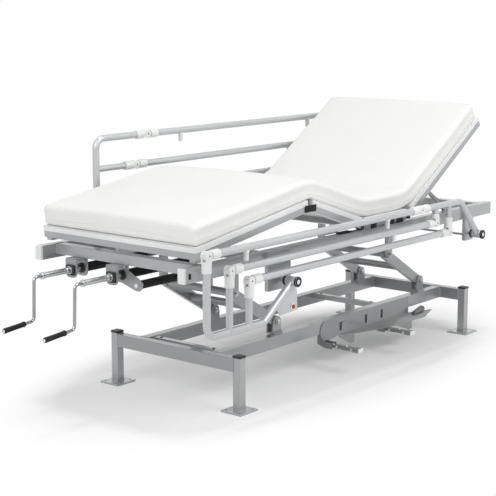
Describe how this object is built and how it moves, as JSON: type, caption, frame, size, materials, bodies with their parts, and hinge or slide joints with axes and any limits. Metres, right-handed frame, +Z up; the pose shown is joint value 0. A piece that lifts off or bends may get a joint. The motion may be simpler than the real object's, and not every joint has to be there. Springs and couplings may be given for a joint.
{
  "type": "hospital bed",
  "caption": "Manual-crank clinic bed: scissor-lift base, four-section deck with white mattress, folding side rails, crank handles at the foot",
  "frame": {"origin": "on the floor, under the middle of the bed's box", "axes": "+X to the head end, +Y to the side with the raised rail, +Z up"},
  "size_m": [2.5678, 1.0196, 1.1357],
  "materials": {
    "steel_paint": "satin silver-grey paint",
    "dark_paint": "satin dark grey paint",
    "chrome": "polished",
    "black_plastic": "matte moulded",
    "white_plastic": "satin moulded",
    "deck_panel": "satin paint, pale edge",
    "mattress_cover": "off-white coated cover",
    "red_plastic": "gloss moulded"
  },
  "bodies": {
    "base": {"leg_foot_near": "steel_paint", "leg_foot_far": "steel_paint", "leg_head_near": "steel_paint", "leg_head_far": "steel_paint", "base_cross_rail_foot": "steel_paint", "base_cross_rail_head": "steel_paint", "base_rail_near": "steel_paint", "base_rail_far": "steel_paint", "base_tie_tube_foot": "steel_paint", "base_tie_tube_mid": "steel_paint", "pedal_cover": "steel_paint", "pedal_bracket_foot": "dark_paint", "pedal_bracket_head": "dark_paint"},
    "pedal_foot": {"pedal_foot": "dark_paint"},
    "pedal_head": {"pedal_head": "dark_paint"},
    "lift_foot": {"lift_frame_foot": "steel_paint"},
    "lift_head": {"lift_frame_head": "steel_paint"},
    "upper_frame": {"side_tube_near": "steel_paint", "side_tube_far": "steel_paint", "frame_cross_foot": "steel_paint", "frame_cross_head": "steel_paint", "lift_cross_foot": "steel_paint", "lift_cross_head": "steel_paint", "end_cap_near": "white_plastic", "end_cap_far": "white_plastic", "crank_bracket_back": "steel_paint", "crank_bracket_knee": "steel_paint", "screw_cover_back": "black_plastic", "screw_cover_knee": "black_plastic", "lift_cylinder": "black_plastic", "seat_deck": "deck_panel", "mattress_seat": "mattress_cover"},
    "lift_rod": {"lift_rod": "chrome"},
    "crank_back": {"crank_back": "chrome"},
    "crank_knee": {"crank_knee": "chrome"},
    "grip_back": {"grip_back": "black_plastic"},
    "grip_knee": {"grip_knee": "black_plastic"},
    "push_rod_back": {"push_rod_back": "dark_paint"},
    "push_rod_knee": {"push_rod_knee": "dark_paint"},
    "thigh": {"thigh_deck": "deck_panel", "mattress_thigh": "mattress_cover"},
    "calf": {"calf_deck": "deck_panel", "mattress_calf": "mattress_cover"},
    "back": {"back_deck": "deck_panel", "mattress_back": "mattress_cover"},
    "back_prop_near": {"back_prop_near": "steel_paint"},
    "back_prop_far": {"back_prop_far": "steel_paint"},
    "rail_frame_foot_near": {"rail_frame_foot_near": "steel_paint"},
    "rail_frame_head_near": {"rail_frame_head_near": "steel_paint"},
    "rail_top_near": {"rail_top_near": "steel_paint"},
    "rail_mid_near": {"rail_mid_near": "steel_paint"},
    "rail_low_near": {"rail_low_near": "steel_paint"},
    "lock_button_near": {"lock_button_near": "red_plastic"},
    "rail_frame_foot_far": {"rail_frame_foot_far": "steel_paint"},
    "rail_frame_head_far": {"rail_frame_head_far": "steel_paint"},
    "rail_top_far": {"rail_top_far": "steel_paint"},
    "rail_mid_far": {"rail_mid_far": "steel_paint"},
    "rail_low_far": {"rail_low_far": "steel_paint"},
    "lock_button_far": {"lock_button_far": "red_plastic"}
  },
  "joints": [
    {"name": "lift", "type": "hinge", "parent": "base", "child": "lift_foot", "pos_m": [-0.14457, 0, 0.2675], "axis": [0, 1, 0], "range_deg": [-25, 25]},
    {"name": "frame_level", "type": "hinge", "parent": "lift_foot", "child": "upper_frame", "pos_m": [-0.43557, 0, 0.4397], "axis": [0, 1, 0], "range_deg": [-25, 25]},
    {"name": "lift_head_swing", "type": "hinge", "parent": "base", "child": "lift_head", "pos_m": [0.98993, 0, 0.2675], "axis": [0, 1, 0], "range_deg": [-25, 25]},
    {"name": "lift_rod_slide", "type": "slide", "parent": "upper_frame", "child": "lift_rod", "axis": [1, 0, 0], "range_m": [-0.038, 0.038]},
    {"name": "pedal_foot_press", "type": "hinge", "parent": "base", "child": "pedal_foot", "pos_m": [0.18093, -0.236, 0.108], "axis": [1, 0, 0], "range_deg": [0, 15], "stiffness_Nm_per_rad": 8, "springref_deg": -20.05},
    {"name": "pedal_head_press", "type": "hinge", "parent": "base", "child": "pedal_head", "pos_m": [0.59993, -0.236, 0.108], "axis": [1, 0, 0], "range_deg": [0, 15], "stiffness_Nm_per_rad": 8, "springref_deg": -20.05},
    {"name": "back_raise", "type": "hinge", "parent": "upper_frame", "child": "back", "pos_m": [0.53593, 0, 0.6603], "axis": [0, -1, 0], "range_deg": [-32, 38]},
    {"name": "thigh_raise", "type": "hinge", "parent": "upper_frame", "child": "thigh", "pos_m": [0.16393, 0, 0.6603], "axis": [0, 1, 0], "range_deg": [-17.5, 17]},
    {"name": "calf_fold", "type": "hinge", "parent": "thigh", "child": "calf", "pos_m": [-0.21316, 0, 0.78282], "axis": [0, 1, 0], "range_deg": [-28, 28]},
    {"name": "back_prop_near_swing", "type": "hinge", "parent": "back", "child": "back_prop_near", "pos_m": [0.70856, -0.3812, 0.76901], "axis": [0, 1, 0], "range_deg": [-65, 77]},
    {"name": "back_prop_far_swing", "type": "hinge", "parent": "back", "child": "back_prop_far", "pos_m": [0.70856, 0.3812, 0.76901], "axis": [0, 1, 0], "range_deg": [-65, 77]},
    {"name": "push_rod_back_slide", "type": "slide", "parent": "upper_frame", "child": "push_rod_back", "axis": [1, 0, 0], "range_m": [-0.06, 0.072]},
    {"name": "push_rod_knee_slide", "type": "slide", "parent": "upper_frame", "child": "push_rod_knee", "axis": [1, 0, 0], "range_m": [-0.034, 0.034]},
    {"name": "crank_back_turn", "type": "hinge", "parent": "upper_frame", "child": "crank_back", "pos_m": [-1.12107, 0.017, 0.557], "axis": [1, 0, 0], "range_deg": [-4159, 4938]},
    {"name": "grip_back_spin", "type": "hinge", "parent": "crank_back", "child": "grip_back", "pos_m": [-1.17538, 0.017, 0.38082], "axis": [-0.9962, 0, -0.0872], "continuous": true},
    {"name": "crank_knee_turn", "type": "hinge", "parent": "upper_frame", "child": "crank_knee", "pos_m": [-1.12107, 0.246, 0.557], "axis": [1, 0, 0], "range_deg": [-2212, 2277]},
    {"name": "grip_knee_spin", "type": "hinge", "parent": "crank_knee", "child": "grip_knee", "pos_m": [-1.17538, 0.246, 0.38082], "axis": [-0.9962, 0, -0.0872], "continuous": true},
    {"name": "rail_near_fold", "type": "hinge", "parent": "upper_frame", "child": "rail_frame_foot_near", "pos_m": [-0.41307, -0.477, 0.5245], "axis": [0, 1, 0], "range_deg": [0, 90]},
    {"name": "rail_near_head_fold", "type": "hinge", "parent": "upper_frame", "child": "rail_frame_head_near", "pos_m": [1.03393, -0.477, 0.5245], "axis": [0, 1, 0], "range_deg": [0, 90]},
    {"name": "rail_near_top_level", "type": "hinge", "parent": "rail_frame_foot_near", "child": "rail_top_near", "pos_m": [-0.92707, -0.477, 0.6995], "axis": [0, 1, 0], "range_deg": [-90, 0]},
    {"name": "rail_near_mid_level", "type": "hinge", "parent": "rail_frame_foot_near", "child": "rail_mid_near", "pos_m": [-0.79707, -0.477, 0.6255], "axis": [0, 1, 0], "range_deg": [-90, 0]},
    {"name": "rail_near_low_level", "type": "hinge", "parent": "rail_frame_foot_near", "child": "rail_low_near", "pos_m": [-0.68107, -0.477, 0.5685], "axis": [0, 1, 0], "range_deg": [-90, 0]},
    {"name": "lock_button_near_press", "type": "slide", "parent": "rail_frame_foot_near", "child": "lock_button_near", "axis": [0, 1, 0], "range_m": [0, 0.004], "stiffness_N_per_m": 300, "springref_m": -0.004},
    {"name": "rail_far_fold", "type": "hinge", "parent": "upper_frame", "child": "rail_frame_foot_far", "pos_m": [-0.41307, 0.477, 0.5245], "axis": [0, 1, 0], "range_deg": [-90, 0]},
    {"name": "rail_far_head_fold", "type": "hinge", "parent": "upper_frame", "child": "rail_frame_head_far", "pos_m": [1.03393, 0.477, 0.5245], "axis": [0, 1, 0], "range_deg": [-90, 0]},
    {"name": "rail_far_top_level", "type": "hinge", "parent": "rail_frame_foot_far", "child": "rail_top_far", "pos_m": [-0.23807, 0.477, 1.0385], "axis": [0, 1, 0], "range_deg": [0, 90]},
    {"name": "rail_far_mid_level", "type": "hinge", "parent": "rail_frame_foot_far", "child": "rail_mid_far", "pos_m": [-0.31207, 0.477, 0.9085], "axis": [0, 1, 0], "range_deg": [0, 90]},
    {"name": "rail_far_low_level", "type": "hinge", "parent": "rail_frame_foot_far", "child": "rail_low_far", "pos_m": [-0.36907, 0.477, 0.7925], "axis": [0, 1, 0], "range_deg": [0, 90]},
    {"name": "lock_button_far_press", "type": "slide", "parent": "rail_frame_foot_far", "child": "lock_button_far", "axis": [0, -1, 0], "range_m": [0, 0.004], "stiffness_N_per_m": 300, "springref_m": -0.004}
  ],
  "couplings": [
    {"joint": "frame_level", "follows": "lift", "ratio": -1},
    {"joint": "lift_head_swing", "follows": "lift", "ratio": 1},
    {"joint": "lift_rod_slide", "follows": "lift", "m_per_rad": 0.085},
    {"joint": "calf_fold", "follows": "thigh_raise", "ratio": -1.5421},
    {"joint": "back_prop_near_swing", "follows": "back_raise", "ratio": 2},
    {"joint": "back_prop_far_swing", "follows": "back_raise", "ratio": 2},
    {"joint": "push_rod_back_slide", "follows": "back_raise", "m_per_rad": 0.1033},
    {"joint": "push_rod_knee_slide", "follows": "thigh_raise", "m_per_rad": -0.1033},
    {"joint": "crank_back_turn", "follows": "back_raise", "ratio": 129.81},
    {"joint": "crank_knee_turn", "follows": "thigh_raise", "ratio": -129.81},
    {"joint": "rail_near_head_fold", "follows": "rail_near_fold", "ratio": 1},
    {"joint": "rail_near_top_level", "follows": "rail_near_fold", "ratio": -1},
    {"joint": "rail_near_mid_level", "follows": "rail_near_fold", "ratio": -1},
    {"joint": "rail_near_low_level", "follows": "rail_near_fold", "ratio": -1},
    {"joint": "rail_far_head_fold", "follows": "rail_far_fold", "ratio": 1},
    {"joint": "rail_far_top_level", "follows": "rail_far_fold", "ratio": -1},
    {"joint": "rail_far_mid_level", "follows": "rail_far_fold", "ratio": -1},
    {"joint": "rail_far_low_level", "follows": "rail_far_fold", "ratio": -1}
  ]
}
